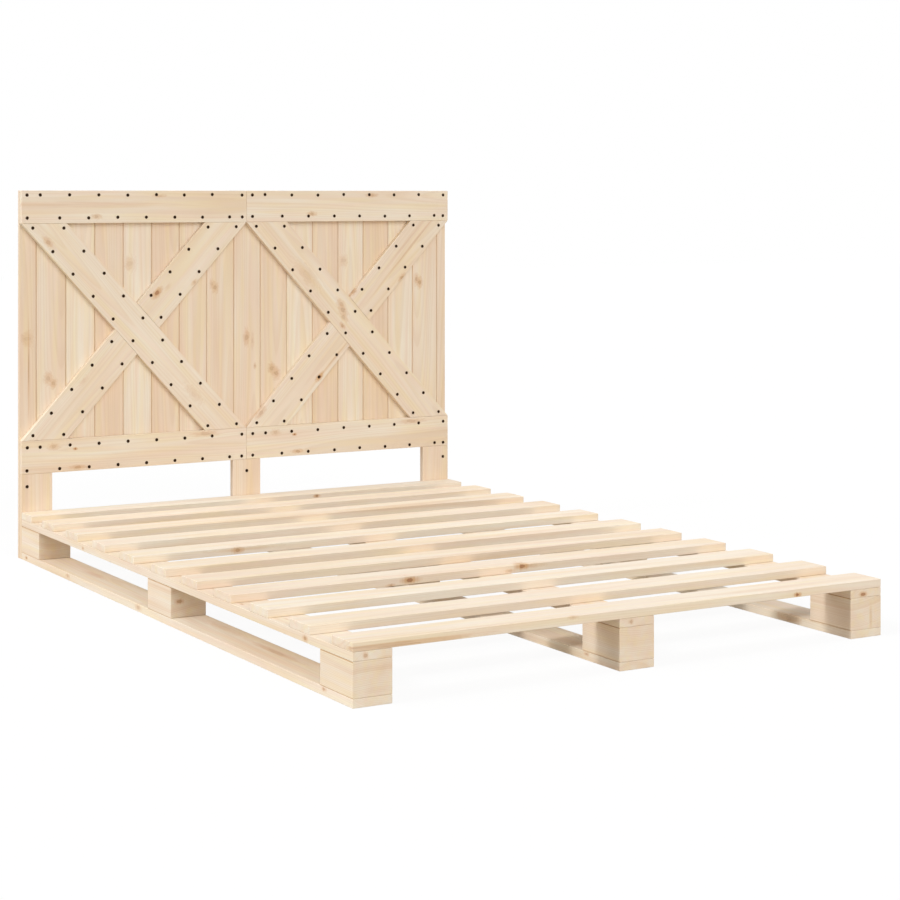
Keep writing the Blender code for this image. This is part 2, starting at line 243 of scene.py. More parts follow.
def pine_figure(wood):
    """Growth rings round a pith, with X along the board: the solid pattern of every board."""
    tree, given = new_group(
        "pine_figure",
        "ShaderNodeTree",
        {
            "Place": "NodeSocketVector",
            "Pith": "NodeSocketVector",
            "Taper": "NodeSocketVector",
            "Seed": "NodeSocketFloat",
            "Bend": "NodeSocketFloat",
            "Warmth": "NodeSocketFloat",
            "Rings": "NodeSocketFloat",
            "Streaks": "NodeSocketFloat",
        },
        {"Color": "NodeSocketColor", "Roughness": "NodeSocketFloat", "Height": "NodeSocketFloat"},
    )
    place, seed = given["Place"], given["Seed"]
    along = add(tree, "ShaderNodeSeparateXYZ", place).outputs["X"]
    start = add(tree, "ShaderNodeCombineXYZ", seed, seed, 0.0)

    def spread(length, width, detail):
        """Noise drawn out along the board."""
        sizes = (1 / length, 1 / width, 1 / width)
        spot = add(tree, VECTOR, place, sizes, start, operation="MULTIPLY_ADD")
        return add(tree, NOISE, spot, 1.0, detail)

    # Distance from the pith, which runs askew and wanders
    wander = spread(WANDER_LENGTH, WANDER_WIDTH, 1.0).outputs["Color"]
    middle = (0, -WANDER / 2, -WANDER / 2)
    wander = add(tree, VECTOR, wander, (0, WANDER, WANDER), middle, operation="MULTIPLY_ADD")
    drift = add(tree, VECTOR, given["Taper"], named={"Scale": along}, operation="SCALE")
    pith = add(tree, VECTOR, given["Pith"], drift, operation="ADD")
    offset = add(tree, VECTOR, place, pith, operation="SUBTRACT")
    offset = add(tree, VECTOR, offset, wander, operation="ADD")
    offset = add(tree, VECTOR, offset, (0, 1, 1), operation="MULTIPLY")
    depth = add(tree, VECTOR, offset, operation="LENGTH")
    depth = add(tree, MATH, depth, given["Bend"], operation="ADD")

    # Growth rings: pale early wood that darkens slowly and ends sharply
    year = add(tree, MATH, depth, 1 / UNEVEN_WIDTH, seed, operation="MULTIPLY_ADD")
    uneven = add(tree, NOISE, year, 1.0, 1.0, noise_dimensions="1D")
    grown = add(tree, MATH, uneven, UNEVEN, depth, operation="MULTIPLY_ADD")
    ring = add(tree, MATH, grown, wood.ring_width / MM, operation="DIVIDE")
    ring = add(tree, MATH, ring, operation="FRACT")
    rise = add(tree, RANGE, ring, RISE_START, RISE_END, 0.0, 1.0, interpolation_type="SMOOTHSTEP")
    fall = add(tree, RANGE, ring, 1.0, FALL_START, 0.0, 1.0, interpolation_type="SMOOTHSTEP")
    late = add(tree, MATH, rise, fall, operation="MULTIPLY")

    # Streaks follow the rings and patches don't; both are soft.
    deep = add(tree, MATH, grown, wood.streak_width / MM, operation="DIVIDE")
    far = add(tree, MATH, along, wood.streak_length / MM, operation="DIVIDE")
    spot = add(tree, "ShaderNodeCombineXYZ", deep, far, seed)
    streak = add(tree, NOISE, spot, 1.0, 2.0, 0.55)
    patch = spread(PATCH_LENGTH, PATCH_WIDTH, 1.5)
    fibre = spread(FIBRE_LENGTH, FIBRE_WIDTH, 1.0)

    warm = add(tree, MATH, patch, PATCH_PULL, given["Warmth"], operation="MULTIPLY_ADD")
    warm = add(tree, MATH, streak, STREAK_PULL, warm, operation="MULTIPLY_ADD")
    # Both noises lie round a half, so their shares come off again.
    half = (PATCH_PULL + STREAK_PULL) / 2
    warm = add(tree, MATH, warm, half, operation="SUBTRACT", use_clamp=True)
    colour = add(tree, MIX, warm, (*wood.pale, 1), (*wood.peach, 1), data_type="RGBA")
    hues = spread(HUE_LENGTH, HUE_WIDTH, 1.5).outputs["Color"]
    hues = add(tree, "ShaderNodeSeparateXYZ", hues).outputs
    for hue, tint in ((hues["X"], wood.honey), (hues["Y"], wood.rose)):
        share = add(tree, RANGE, hue, 0.40, 0.72, 0.0, HUE_SHARE, interpolation_type="SMOOTHSTEP")
        colour = add(tree, MIX, share, colour, (*tint, 1), data_type="RGBA")
    dark = add(tree, RANGE, streak, 0.54, 0.74, 0.0, given["Streaks"], interpolation_type="SMOOTHSTEP")
    colour = add(tree, MIX, dark, colour, (*wood.tan, 1), data_type="RGBA")
    share = add(tree, MATH, late, given["Rings"], operation="MULTIPLY")
    colour = add(tree, MIX, share, colour, (*wood.latewood, 1), data_type="RGBA")
    share = add(tree, RANGE, fibre, 0.5, 0.8, 0.0, FIBRE_SHARE)
    colour = add(tree, MIX, share, colour, (*wood.latewood, 1), data_type="RGBA")

    roughness = add(tree, MATH, late, -0.06, 0.60, operation="MULTIPLY_ADD")
    roughness = add(tree, MATH, fibre, 0.08, roughness, operation="MULTIPLY_ADD")
    height = add(tree, MATH, late, 0.5, fibre, operation="MULTIPLY_ADD")
    add(tree, "NodeGroupOutput", colour, roughness, height)
    return tree


KNOT_RAGGED, HALO_RAGGED = 1.6, 2.4  # how far noise moves the outlines, in the knot's radii
KNOT_BEND = 1.6  # how far the rings give way to a knot, in its widths


def knot_shape():
    """One branch through a board, an ellipsoid in the board's own space."""
    tree, given = new_group(
        "knot",
        "ShaderNodeTree",
        {
            "Place": "NodeSocketVector",
            "Centre": "NodeSocketVector",
            "Radii": "NodeSocketVector",
            "Strength": "NodeSocketFloat",
            "Bend": "NodeSocketFloat",
        },
        {
            "Knot": "NodeSocketFloat",
            "Edge": "NodeSocketFloat",
            "Halo": "NodeSocketFloat",
            "Bend": "NodeSocketFloat",
        },
    )
    offset = add(tree, VECTOR, given["Place"], given["Centre"], operation="SUBTRACT")
    offset = add(tree, VECTOR, offset, given["Radii"], operation="DIVIDE")
    spot = add(tree, VECTOR, offset, (0.9, 0.9, 0), given["Centre"], operation="MULTIPLY_ADD")
    ragged = add(tree, NOISE, spot, 1.0, 3.0, 0.6)
    # The ragged noise adds half of its reach on average.
    distance = add(tree, VECTOR, offset, operation="LENGTH")
    distance = add(tree, MATH, ragged, KNOT_RAGGED, distance, operation="MULTIPLY_ADD")
    # A faint knot is mostly halo, and a strong one is mostly wood of its own.
    share = add(tree, MATH, given["Strength"], given["Strength"], operation="MULTIPLY")
    knot = add(tree, RANGE, distance, 2.0, 1.4, 0.0, share, interpolation_type="SMOOTHSTEP")
    inner = add(tree, RANGE, distance, 1.3, 1.7, 0.0, 0.7, interpolation_type="SMOOTHSTEP")
    edge = add(tree, MATH, knot, inner, operation="MULTIPLY")
    # The halo is drawn out along the grain.
    spot = add(tree, VECTOR, offset, (0.6, 1, 1), operation="MULTIPLY")
    distance = add(tree, VECTOR, spot, operation="LENGTH")
    distance = add(tree, MATH, ragged, HALO_RAGGED, distance, operation="MULTIPLY_ADD")
    strength = given["Strength"]
    halo = add(tree, RANGE, distance, 3.8, 1.8, 0.0, strength, interpolation_type="SMOOTHSTEP")
    width = add(tree, "ShaderNodeSeparateXYZ", given["Radii"]).outputs["Y"]
    bend = add(tree, RANGE, distance, 4.2, 0.8, 0.0, width, interpolation_type="SMOOTHSTEP")
    bend = add(tree, MATH, bend, KNOT_BEND, given["Bend"], operation="MULTIPLY_ADD")
    add(tree, "NodeGroupOutput", knot, edge, halo, bend)
    return tree


# The side is the board's face that shows the knot. The place on it is in millimetres from the bed's
# left side, foot end or floor: right and up on the front, back and up on the left, right and back
# on the top. The size is the knot's length along the board, width and depth below its wide face.
# The places were picked by eye on enlarged pieces of the photograph. A scratch script turned most of
# them into millimetres with the fitted camera. Sizes and strengths were chosen one by one.
Knot = namedtuple("Knot", "board side place size strength")

THROUGH = 200  # deeper than any board is thick
KNOTS = (
    Knot("headboard_top_rail_left", "front", (224, 969), (11, 9, THROUGH), 0.45),
    Knot("headboard_top_rail_left", "front", (419, 1028), (15, 6, THROUGH), 0.35),
    Knot("headboard_top_rail_left", "front", (60, 1003), (230, 9, 16), 0.22),
    Knot("headboard_top_rail_right", "front", (919, 973), (11, 9, THROUGH), 0.50),
    Knot("headboard_top_rail_right", "front", (1127, 1030), (14, 7, THROUGH), 0.50),
    Knot("headboard_lower_rail_left", "front", (95, 313), (12, 10, THROUGH), 0.40),
    Knot("headboard_lower_rail_left", "front", (160, 303), (5, 5, THROUGH), 0.90),
    Knot("headboard_lower_rail_left", "front", (168, 250), (18, 7, THROUGH), 0.55),
    Knot("headboard_lower_rail_left", "front", (565, 323), (30, 9, THROUGH), 0.40),
    Knot("headboard_lower_rail_right", "front", (796, 313), (12, 10, THROUGH), 0.40),
    Knot("headboard_lower_rail_right", "front", (860, 304), (5, 5, THROUGH), 0.90),
    Knot("headboard_lower_rail_right", "front", (871, 252), (14, 8, THROUGH), 0.55),
    Knot("headboard_lower_rail_right", "front", (1267, 322), (30, 9, THROUGH), 0.45),
    Knot("headboard_brace_left_through", "front", (79, 896), (15, 11, THROUGH), 0.50),
    Knot("headboard_brace_left_through", "front", (528, 442), (22, 15, THROUGH), 0.18),
    Knot("headboard_brace_left_upper", "front", (412, 744), (14, 12, THROUGH), 0.80),
    Knot("headboard_brace_left_upper", "front", (446, 760), (10, 7, THROUGH), 0.18),
    Knot("headboard_brace_left_upper", "front", (530, 773), (8, 8, THROUGH), 0.45),
    Knot("headboard_brace_left_lower", "front", (186, 497), (12, 9, THROUGH), 0.22),
    Knot("headboard_brace_right_through", "front", (1020, 696), (13, 11, THROUGH), 0.42),
    Knot("headboard_brace_right_through", "front", (1025, 677), (15, 12, THROUGH), 0.50),
    Knot("headboard_brace_right_through", "front", (1028, 655), (13, 10, THROUGH), 0.42),
    Knot("headboard_brace_right_through", "front", (1024, 629), (9, 8, THROUGH), 0.55),
    Knot("headboard_brace_right_through", "front", (902, 787), (34, 20, THROUGH), 0.26),
    Knot("headboard_brace_right_upper", "front", (1234, 773), (12, 9, THROUGH), 0.55),
    Knot("headboard_brace_right_upper", "front", (1064, 733), (11, 8, THROUGH), 0.50),
    Knot("headboard_brace_right_upper", "front", (1268, 872), (130, 5, 16), 0.35),
    Knot("headboard_brace_right_upper", "front", (1243, 876), (110, 5, 16), 0.25),
    Knot("headboard_brace_right_lower", "front", (945, 475), (12, 9, THROUGH), 0.90),
    Knot("headboard_brace_right_lower", "front", (994, 527), (60, 4, 16), 0.35),
    Knot("headboard_brace_right_lower", "front", (748, 375), (16, 10, THROUGH), 0.45),
    Knot("headboard_plank_01", "front", (24, 622), (13, 22, THROUGH), 0.32),
    Knot("headboard_plank_01", "front", (27, 540), (90, 3, 12), 0.50),
    Knot("headboard_plank_02", "front", (85, 507), (12, 14, THROUGH), 0.42),
    Knot("headboard_plank_02", "front", (101, 492), (10, 12, THROUGH), 0.45),
    Knot("headboard_plank_05", "front", (333, 830), (14, 18, THROUGH), 0.30),
    Knot("headboard_plank_08", "front", (594, 767), (10, 9, THROUGH), 0.35),
    Knot("headboard_plank_08", "front", (605, 755), (11, 12, THROUGH), 0.50),
    Knot("headboard_plank_09", "front", (709, 603), (16, 12, THROUGH), 0.45),
    Knot("headboard_plank_09", "front", (727, 592), (14, 6, THROUGH), 0.30),
    Knot("headboard_plank_09", "front", (736, 516), (6, 5, THROUGH), 0.45),
    Knot("headboard_plank_10", "front", (792, 506), (12, 13, THROUGH), 0.48),
    Knot("headboard_plank_10", "front", (807, 491), (12, 14, THROUGH), 0.50),
    Knot("headboard_plank_13", "front", (1036, 828), (12, 16, THROUGH), 0.32),
    Knot("headboard_plank_16", "front", (1296, 766), (12, 9, THROUGH), 0.50),
    Knot("headboard_plank_16", "front", (1308, 755), (12, 11, THROUGH), 0.55),
    Knot("slat_11", "front", (893, 125), (8, 30, 6), 0.80),
    Knot("slat_07", "front", (284, 124), (12, 40, 9), 0.65),
    Knot("slat_07", "front", (322, 125), (70, 20, 5), 0.22),
    Knot("slat_04", "front", (462, 123), (17, 40, 9), 0.85),
    Knot("slat_04", "front", (411, 115), (8, 30, 5), 0.55),
    Knot("slat_04", "front", (777, 128), (15, 40, 9), 0.85),
    Knot("slat_04", "front", (806, 127), (26, 30, 6), 0.30),
    Knot("slat_04", "front", (741, 120), (10, 30, 5), 0.40),
    Knot("slat_01", "front", (1149, 119), (8, 30, 6), 0.90),
    Knot("slat_01", "front", (533, 131), (9, 12, 6), 0.35),
    Knot("slat_01", "front", (60, 121), (170, 30, 4), 0.45),
    Knot("slat_01", "front", (115, 117), (120, 30, 3), 0.50),
    Knot("stringer_left", "left", (1515, 102), (6, 20, 5), 0.60),
    Knot("stringer_left", "left", (212, 103), (9, 30, 7), 0.65),
    Knot("stringer_left", "top", (19, 567), (8, 5, 30), 0.60),
    Knot("stringer_left", "top", (33, 366), (10, 5, 30), 0.35),
    Knot("stringer_left", "front", (30, 104), (40, 8, 7), 0.50),
    Knot("stringer_middle", "front", (684, 105), (40, 8, 7), 0.50),
    Knot("stringer_right", "front", (1346, 101), (40, 14, 8), 0.80),
    Knot("runner_left", "left", (1960, 10), (7, 20, 5), 0.75),
    Knot("runner_left", "left", (1629, 11), (9, 30, 6), 0.45),
    Knot("runner_left", "left", (1133, 11), (15, 40, 8), 0.45),
    Knot("runner_left", "left", (126, 14), (8, 20, 5), 0.55),
    Knot("runner_left", "top", (53, 1565), (44, 12, 16), 0.25),
    Knot("runner_left", "top", (66, 762), (60, 15, 12), 0.25),
    Knot("runner_left", "top", (58, 467), (80, 12, 12), 0.40),
    Knot("runner_middle", "left", (128, 14), (8, 20, 5), 0.55),
    Knot("runner_right", "left", (224, 10), (24, 30, 12), 0.40),
    Knot("block_left_middle", "front", (23, 58), (40, 13, 7), 0.60),
    Knot("block_right_foot", "front", (1369, 47), (30, 5, 34), 0.28),
)


def knot_centre(knot, low, high):
    """The middle of a knot on its board's face, in the world."""
    first, second = (MM * value for value in knot.place)
    if knot.side == "front":
        return Vector((LEFT + first, low.y, FLOOR + second))
    if knot.side == "left":
        return Vector((low.x, FOOT + first, FLOOR + second))
    return Vector((LEFT + first, FOOT + second, high.z))


TAPER_ACROSS, TAPER_DEEP = 0.012, 0.02  # how far askew a pith runs, as a share of the length
SEEDS = 400  # the range that the patterns' seeds are drawn from


class Look:
    """How one board was sawn and how strongly its figure shows."""

    def __init__(self, name, warmth, spread=0.15, rings=0.13, streaks=0.35, pith=(50, 110), aside=45):
        draw = random.Random(f"{GRAIN_SEED} {name}")
        face = draw.choice((-1, 1))
        self.pith = (0, draw.uniform(-aside, aside), face * draw.uniform(*pith))
        across = draw.uniform(-TAPER_ACROSS, TAPER_ACROSS)
        self.taper = (0, across, draw.uniform(-TAPER_DEEP, TAPER_DEEP))
        self.seed = draw.uniform(0, SEEDS)
        self.warmth = warmth + draw.uniform(-spread, spread)
        self.rings = rings
        self.streaks = streaks


def board_axes(length_way, face_way):
    """The board's own axes as columns: along the grain, across the face, out of the face."""
    return Matrix((length_way, face_way.cross(length_way), face_way)).transposed()


def finish_material(name):
    material = bpy.data.materials.new(name)
    material.use_nodes = True
    material.node_tree.nodes.clear()
    return material, material.node_tree


# Painted shade: how far, in millimetres, and how much it darkens the wood in a V-joint's flanks and along
# a seam between boards
FLANK, FLANK_SHADE = 1.2, 0.35
SEAM, SEAM_SHADE = 2.4, 0.9


def v_joint_painted_shade(tree, place, face):
    """Painted shade in a plank's V-joints: beside its flat face and in front of its middle."""
    middle, half = face
    across, out = add(tree, "ShaderNodeSeparateXYZ", place).outputs[1:]
    across = add(tree, MATH, across, middle, operation="SUBTRACT")
    across = add(tree, MATH, across, operation="ABSOLUTE")
    # Painted shade beside the flat face, where the V-joint's flanks lie in shade
    beside = add(tree, RANGE, across, half, half + FLANK, 0.0, FLANK_SHADE)
    front = add(tree, MATH, out, 0.0, operation="GREATER_THAN")
    return add(tree, MATH, beside, front, operation="MULTIPLY")


def block_seam_painted_shade(tree, place, half):
    """Painted shade on a block's sides, along the seams with the boards over and under it."""
    across, out = add(tree, "ShaderNodeSeparateXYZ", place).outputs[1:]
    across = add(tree, MATH, across, operation="ABSOLUTE")
    out = add(tree, MATH, out, operation="ABSOLUTE")
    # Painted shade near the top and bottom of a block's sides, where the seams lie in shade
    near = add(tree, RANGE, out, half.z / MM - SEAM, half.z / MM - SEAM / 2, 0.0, SEAM_SHADE)
    side = add(tree, MATH, across, half.x / MM - SEAM / 2, operation="GREATER_THAN")
    return add(tree, MATH, near, side, operation="MULTIPLY")


BUMP, BUMP_HEIGHT = 0.25, 0.0002  # how strongly the figure is felt, and its height in metres


def planed_pine(name, axes, look, groups, wood, painted_shade=None):
    """Pine, softwood, planed and left bare: pale and satin, with soft streaks and few knots.

    The painted shade is a function of the tree and the place, for shade painted where it falls in V-joints
    and seams.
    """
    material, tree = finish_material(f"planed_pine_{name}")
    low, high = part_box(name)
    centre = (low + high) / 2
    coordinates = add(tree, "ShaderNodeTexCoord").outputs["Object"]
    # Millimetres from the board's middle, along its own axes
    place = add(
        tree,
        "ShaderNodeMapping",
        named={"Vector": coordinates, "Location": centre, "Rotation": axes.to_euler(), "Scale": (MM,) * 3},
        vector_type="TEXTURE",
    )
    knots = []
    bend = 0.0
    for knot in (k for k in KNOTS if k.board == name):
        spot = axes.transposed() @ (knot_centre(knot, low, high) - centre) / MM
        radii = Vector(knot.size) / 2
        shape = add(
            tree, "ShaderNodeGroup", place, spot, radii, knot.strength, bend, node_tree=groups["knot"]
        )
        bend = shape.outputs["Bend"]
        own = Vector(wood.faint_knot).lerp(Vector(wood.knot), knot.strength)
        knots.append((shape.outputs, own))
    figure = add(
        tree,
        "ShaderNodeGroup",
        place,
        look.pith,
        look.taper,
        look.seed,
        bend,
        look.warmth,
        look.rings,
        look.streaks,
        node_tree=groups["figure"],
    )
    colour = figure
    for knot, own in knots:
        colour = add(tree, MIX, knot["Halo"], colour, (*wood.halo, 1), data_type="RGBA")
        colour = add(tree, MIX, knot["Knot"], colour, (*own, 1), data_type="RGBA")
        colour = add(tree, MIX, knot["Edge"], colour, (*wood.knot_edge, 1), data_type="RGBA")
    if painted_shade:
        # Painted shade in the V-joints and seams, in the latewood's colour, stands for the shade that
        # falls there.
        colour = add(tree, MIX, painted_shade(tree, place), colour, (*wood.latewood, 1), data_type="RGBA")
    height = figure.outputs["Height"]
    bump = add(tree, "ShaderNodeBump", BUMP, BUMP_HEIGHT, named={"Height": height})
    shader = add(
        tree,
        "ShaderNodeBsdfPrincipled",
        named={
            "Base Color": colour,
            "Roughness": figure.outputs["Roughness"],
            "Normal": bump,
            "IOR": 1.5,
        },
    )
    add(tree, "ShaderNodeOutputMaterial", shader)
    return material


def wood_groups(wood):
    """The shared node groups, built once."""
    figure = bpy.data.node_groups.get("pine_figure") or pine_figure(wood)
    knot = bpy.data.node_groups.get("knot") or knot_shape()
    return {"figure": figure, "knot": knot}


def give(obj, material):
    obj.data.materials.clear()
    obj.data.materials.append(material)


def dress_boards(context, prefix, axes, painted_shade=None, **look):
    """Gives each CAD node with this prefix its own piece of pine."""
    wood = context.scene.bed_wood
    groups = wood_groups(wood)
    for name in sorted(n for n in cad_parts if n.startswith(prefix)):
        give(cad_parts[name], planed_pine(name, axes, Look(name, **look), groups, wood, painted_shade))


class BED_OT_base_rows(bpy.types.Operator):
    """Finish the runners, blocks and stringers, whose grain runs along the bed."""

    bl_idname = "bed.base_rows"
    bl_label = "Runners, blocks and stringers"

    def execute(self, context):
        axes = board_axes(ALONG, UP)
        dress_boards(context, "runner_", axes, warmth=0.25)
        dress_boards(context, "stringer_", axes, warmth=0.40)
        low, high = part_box("block_left_foot")
        # Painted shade along the seams where the blocks meet the stringers and runners
        seam_painted_shade = partial(block_seam_painted_shade, half=(high - low) / 2)
        # Far from the pith, so that the rings cross the blocks' ends nearly level
        dress_boards(context, "block_", axes, seam_painted_shade, warmth=0.40, rings=0.20, pith=(280, 420))
        return {"FINISHED"}


class BED_OT_slats(bpy.types.Operator):
    """Finish the eleven slats, whose grain runs across the bed."""

    bl_idname = "bed.slats"
    bl_label = "Slats"

    def execute(self, context):
        dress_boards(context, "slat_", board_axes(ACROSS, UP), warmth=0.32, spread=0.12, rings=0.11)
        return {"FINISHED"}


# The planks' tones, from pale at 0 to warm at 1, chosen after the photograph's. The headboard's
# halves repeat each other.
PLANK_WARMTH = (0.70, 0.60, 0.05, 0.95, 0.20, 0.95, 0.35, 0.65)


def flat_face(node, axes):
    """The middle and half width of a plank's flat front, across from its box's middle, in mm."""
    low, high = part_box(node)
    across = axes.col[1]
    centre = (low + high) / 2
    front = [v.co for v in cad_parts[node].data.vertices if v.co.y < low.y + TOUCH]
    places = [(co - centre).dot(across) / MM for co in front]
    return (max(places) + min(places)) / 2, (max(places) - min(places)) / 2


class BED_OT_planks(bpy.types.Operator):
    """Finish the upright planks, which alternate in tone."""

    bl_idname = "bed.planks"
    bl_label = "Headboard planks"

    def execute(self, context):
        wood = context.scene.bed_wood
        groups = wood_groups(wood)
        axes = board_axes(UP, FRONT)
        names = sorted(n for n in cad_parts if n.startswith("headboard_plank_"))
        for number, name in enumerate(names):
            look = Look(name, PLANK_WARMTH[number % len(PLANK_WARMTH)], spread=0.05, streaks=0.25)
            # Painted shade in the plank's V-joints
            flank_painted_shade = partial(v_joint_painted_shade, face=flat_face(name, axes))
            give(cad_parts[name], planed_pine(name, axes, look, groups, wood, flank_painted_shade))
        return {"FINISHED"}


class Brace:
    """A headboard half's braces: the panel between the rails, and the lines of the edges."""

    def __init__(self, side):
        node = f"headboard_brace_{side}_through"
        low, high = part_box(node)
        self.left = low.x
        self.bottom, self.top = low.z, high.z
        self.height = high.z - low.z
        # The level end cut is what the panel is wider than the brace's run.
        self.cut = level_cut(node)
        self.run = high.x - low.x - self.cut

    def falling(self, z):
        """The through brace's left edge at this height."""
        return self.left + self.run * (self.top - z) / self.height

    def rising(self, z):
        """The cross brace's left edge at this height."""
        return self.left + self.run * (z - self.bottom) / self.height


def level_cut(node):
    """How long the level cut at a brace's upper end is."""
    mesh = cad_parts[node].data
    top = max(v.co.z for v in mesh.vertices)
    ends = [v.co.x for v in mesh.vertices if v.co.z > top - TOUCH]
    return max(ends) - min(ends)


# Where the screws stand, in metres from the ends and edges of the boards that they hold
TOP_ROW_INSET = 0.0125
LOWER_ROW_INSET = 0.0186
UPPER_START = {"left": 0.055, "right": 0.062}
LOWER_START = {"left": 0.1125, "right": 0.1180}
END_INSET = {"left": (0.0165, 0.0150), "right": (0.0194, 0.0176)}
SCREWS_BETWEEN = 7
BRACE_ROWS = 10
CROSSING_CLEARANCE = 0.015
LEG_INSET = 0.0172
LEG_DROP = 0.0350


def screw_places(screws):
    """The middle of each screw's head on the headboard's front face, by the board it holds."""
    places = {}
    draw = random.Random(GRAIN_SEED)

    def put(node, x, z):
        spot = Vector((x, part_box(node)[0].y, z))
        spot.x += draw.uniform(-screws.scatter, screws.scatter)
        spot.z += draw.uniform(-screws.scatter, screws.scatter)
        places.setdefault(node, []).append(spot)

    for side in ("left", "right"):
        for rail, upper_row in (("top", TOP_ROW_INSET), ("lower", LOWER_ROW_INSET)):
            node = f"headboard_{rail}_rail_{side}"
            low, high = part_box(node)
            for row, start in ((0, UPPER_START[side]), (1, LOWER_START[side])):
                z = high.z - upper_row - row * screws.row_gap
                marks = [low.x + start + i * screws.rail_pitch for i in range(SCREWS_BETWEEN)]
                ends = [low.x + END_INSET[side][0], high.x - END_INSET[side][1]]
                for x in ends + marks:
                    put(node, x, z)
        brace = Brace(side)
        for row in range(BRACE_ROWS):
            z = brace.top - screws.brace_end - row * screws.brace_pitch
            z = max(z, brace.bottom + screws.brace_end)
            for inset in (screws.brace_edge, brace.cut - screws.brace_edge):
                put(f"headboard_brace_{side}_through", brace.falling(z) + inset, z)
                x = brace.rising(z) + inset
                over = brace.falling(z) - x, x - brace.falling(z) - brace.cut
                if max(over) > CROSSING_CLEARANCE:
                    part = "upper" if z > (brace.top + brace.bottom) / 2 else "lower"
                    put(f"headboard_brace_{side}_{part}", x, z)
    for side in ("left", "middle", "right"):
        node = f"headboard_leg_{side}"
        low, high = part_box(node)
        x = {"left": low.x, "middle": (low.x + high.x) / 2, "right": high.x}[side]
        inward = {"left": 1, "middle": 0, "right": -1}[side]
        put(node, x + inward * LEG_INSET, high.z - LEG_DROP)
    return places


SCREW_SIDES = 16
HOLE_SPARE = 0.0004
HOLE_OVERRUN = 0.0005
WELD = 0.05 * MM
FLAT = math.radians(1)


def turned(bm, profile, sides):
    """A closed turned solid from (radius, height) pairs, top to bottom, about the Z axis."""
    angles = [2 * math.pi * i / sides for i in range(sides)]
    rings = []
    for radius, height in profile:
        rings.append([bm.verts.new((radius * math.cos(a), radius * math.sin(a), height)) for a in angles])
    faces = [bm.faces.new(rings[0]), bm.faces.new(reversed(rings[-1]))]
    for upper, lower in zip(rings, rings[1:]):
        for i in range(sides):
            j = (i + 1) % sides
            faces.append(bm.faces.new((upper[i], lower[i], lower[j], upper[j])))
    bmesh.ops.recalc_face_normals(bm, faces=faces)
    return [v for ring in rings for v in ring]


def mesh_object(name, bm):
    mesh = bpy.data.meshes.new(name)
    bm.to_mesh(mesh)
    bm.free()
    obj = bpy.data.objects.new(name, mesh)
    bpy.context.scene.collection.objects.link(obj)
    return obj


def apply_modifiers(obj):
    """Turns the object's modifiers into plain mesh."""
    graph = bpy.context.evaluated_depsgraph_get()
    mesh = bpy.data.meshes.new_from_object(obj.evaluated_get(graph))
    old = obj.data
    obj.modifiers.clear()
    obj.data = mesh
    bpy.data.meshes.remove(old)


TO_FRONT = Matrix.Rotation(math.radians(90), 4, "X")


def drilled_copy(node, places, screws):
    """A front board with a countersunk hole for each screw, standing for its CAD node."""
    bm = bmesh.new()
    bm.from_mesh(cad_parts[node].data)
    bmesh.ops.remove_doubles(bm, verts=bm.verts, dist=WELD)
    bmesh.ops.dissolve_limit(bm, angle_limit=FLAT, verts=bm.verts, edges=bm.edges)
    board = mesh_object(f"{node}_drilled", bm)
    bm = bmesh.new()
    top = screws.head / 2 + screws.rim
    neck = screws.shank / 2 + HOLE_SPARE
    fall = (top - neck) / (screws.head_height + HOLE_SPARE)
    profile = [
        (top + fall * HOLE_OVERRUN, HOLE_OVERRUN),
        (neck, -screws.sunk - screws.head_height - HOLE_SPARE),
        (neck, -screws.sunk - screws.screw_length - HOLE_SPARE),
    ]
    for place in places:
        verts = turned(bm, profile, SCREW_SIDES)
        bmesh.ops.transform(bm, matrix=Matrix.Translation(place) @ TO_FRONT, verts=verts)
    holes = mesh_object("screw_holes", bm)
    drill = board.modifiers.new("Drill", "BOOLEAN")
    drill.operation = "DIFFERENCE"
    drill.solver = "EXACT"
    drill.object = holes
    apply_modifiers(board)
    bpy.data.objects.remove(holes, do_unlink=True)
    return board


def board_way(node):
    """The way that a front board's grain runs."""
    _, kind, side, *part = node.split("_")
    if kind == "brace":
        brace = Brace(side)
        lean = -brace.run if part == ["through"] else brace.run
        return Vector((lean, 0, brace.height)).normalized()
    return UP if kind == "leg" else ACROSS


FRONT_WARMTH = 0.42
# The legs' warmer, darker tone is partly their wood and partly painted shade.
LEG_WARMTH_AND_SHADE = 0.90


class BED_OT_front_boards(bpy.types.Operator):
    """Drill and finish the rails, braces and legs in front of the planks."""

    bl_idname = "bed.front_boards"
    bl_label = "Rails, braces and legs"

    def execute(self, context):
        wood = context.scene.bed_wood
        groups = wood_groups(wood)
        for node, places in screw_places(context.scene.bed_screws).items():
            board = drilled_copy(node, places, context.scene.bed_screws)
            axes = board_axes(board_way(node), FRONT)
            warmth = LEG_WARMTH_AND_SHADE if "_leg_" in node else FRONT_WARMTH
            give(board, planed_pine(node, axes, Look(node, warmth), groups, wood))
            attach(board, "root")
            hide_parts(node)
        return {"FINISHED"}


GRAIN_OF_STEEL = 2.0  # millimetres, coarser than the real crystals so that they show
CRYSTAL_GLINT = 1.8  # how much lighter the lightest crystals are


def black_steel(context):
    """Steel, black phosphated and oiled: nearly black and satin, a little brown."""
    name = "black_phosphated_steel"
    if name in bpy.data.materials:
        return bpy.data.materials[name]
    material, tree = finish_material(name)
    place = add(tree, "ShaderNodeTexCoord").outputs["Object"]
    grain = add(tree, NOISE, place, 1 / (GRAIN_OF_STEEL * MM), 3.0)
    steel = context.scene.bed_screws.steel
    light = [CRYSTAL_GLINT * c for c in steel]
    colour = add(tree, MIX, grain, (*steel, 1), (*light, 1), data_type="RGBA")
    roughness = add(tree, RANGE, grain, 0.3, 0.7, 0.50, 0.65)
    shader = add(
        tree,
        "ShaderNodeBsdfPrincipled",
        named={"Base Color": colour, "Roughness": roughness, "IOR": 1.3},
    )
    add(tree, "ShaderNodeOutputMaterial", shader)
    return material


